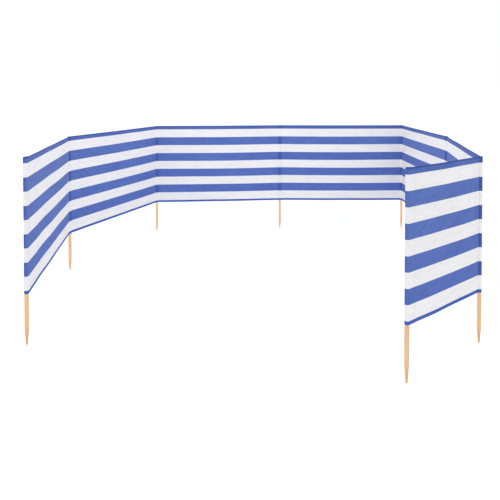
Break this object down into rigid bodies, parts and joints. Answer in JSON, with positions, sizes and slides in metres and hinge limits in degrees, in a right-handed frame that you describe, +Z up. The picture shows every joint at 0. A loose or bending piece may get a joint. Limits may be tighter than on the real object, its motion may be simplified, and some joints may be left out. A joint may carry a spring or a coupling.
{
  "type": "beach windbreak",
  "caption": "Striped cloth beach windbreak on wooden stakes, set up as an open U; each bay folds about the stake in its sewn pocket.",
  "frame": {"origin": "centre of the blunt tip of the fourth stake from the left, the left stake of the back bay", "axes": "+Z up along the stakes, +X to the right along the back bay, the U opens towards -Y"},
  "size_m": [3.13, 3.0295, 1.1],
  "materials": {
    "stake_wood": "sanded, unvarnished",
    "striped_cloth": "blue and white stripes",
    "pocket_cloth": "blue and white stripes",
    "hem_cloth": "plain blue weave"
  },
  "bodies": {
    "section_1": {"cloth_1": "striped_cloth", "top_hem_1": "hem_cloth", "bottom_hem_1": "hem_cloth", "stake_1": "stake_wood", "pocket_1": "pocket_cloth"},
    "section_2": {"cloth_2": "striped_cloth", "top_hem_2": "hem_cloth", "bottom_hem_2": "hem_cloth", "stake_2": "stake_wood", "pocket_2": "pocket_cloth"},
    "section_3": {"cloth_3": "striped_cloth", "top_hem_3": "hem_cloth", "bottom_hem_3": "hem_cloth", "stake_3": "stake_wood", "pocket_3": "pocket_cloth"},
    "section_4": {"cloth_4": "striped_cloth", "top_hem_4": "hem_cloth", "bottom_hem_4": "hem_cloth", "stake_4": "stake_wood", "pocket_4": "pocket_cloth", "stake_5": "stake_wood", "pocket_5": "pocket_cloth"},
    "section_5": {"cloth_5": "striped_cloth", "top_hem_5": "hem_cloth", "bottom_hem_5": "hem_cloth", "stake_6": "stake_wood", "pocket_6": "pocket_cloth"},
    "section_6": {"cloth_6": "striped_cloth", "top_hem_6": "hem_cloth", "bottom_hem_6": "hem_cloth", "stake_7": "stake_wood", "pocket_7": "pocket_cloth"},
    "section_7": {"cloth_7": "striped_cloth", "top_hem_7": "hem_cloth", "bottom_hem_7": "hem_cloth", "stake_8": "stake_wood", "pocket_8": "pocket_cloth"}
  },
  "joints": [
    {"name": "fold_4", "type": "hinge", "parent": "section_4", "child": "section_3", "pos_m": [0, 0, 0.7], "axis": [0, 0, -1], "range_deg": [-35, 165]},
    {"name": "fold_3", "type": "hinge", "parent": "section_3", "child": "section_2", "pos_m": [-1.29505, -0.1133, 0.7], "axis": [0, 0, 1], "range_deg": [-222, 88]},
    {"name": "fold_2", "type": "hinge", "parent": "section_2", "child": "section_1", "pos_m": [-1.803, -1.30996, 0.7], "axis": [0, 0, -1], "range_deg": [-129, 191]},
    {"name": "fold_5", "type": "hinge", "parent": "section_4", "child": "section_5", "pos_m": [1.3, 0, 0.7], "axis": [0, 0, -1], "range_deg": [-250, 45]},
    {"name": "fold_6", "type": "hinge", "parent": "section_5", "child": "section_6", "pos_m": [1.3, -1.3, 0.7], "axis": [0, 0, 1], "range_deg": [-93, 172]},
    {"name": "fold_7", "type": "hinge", "parent": "section_6", "child": "section_7", "pos_m": [1.02971, -2.57159, 0.7], "axis": [0, 0, -1], "range_deg": [-200, 120]}
  ]
}
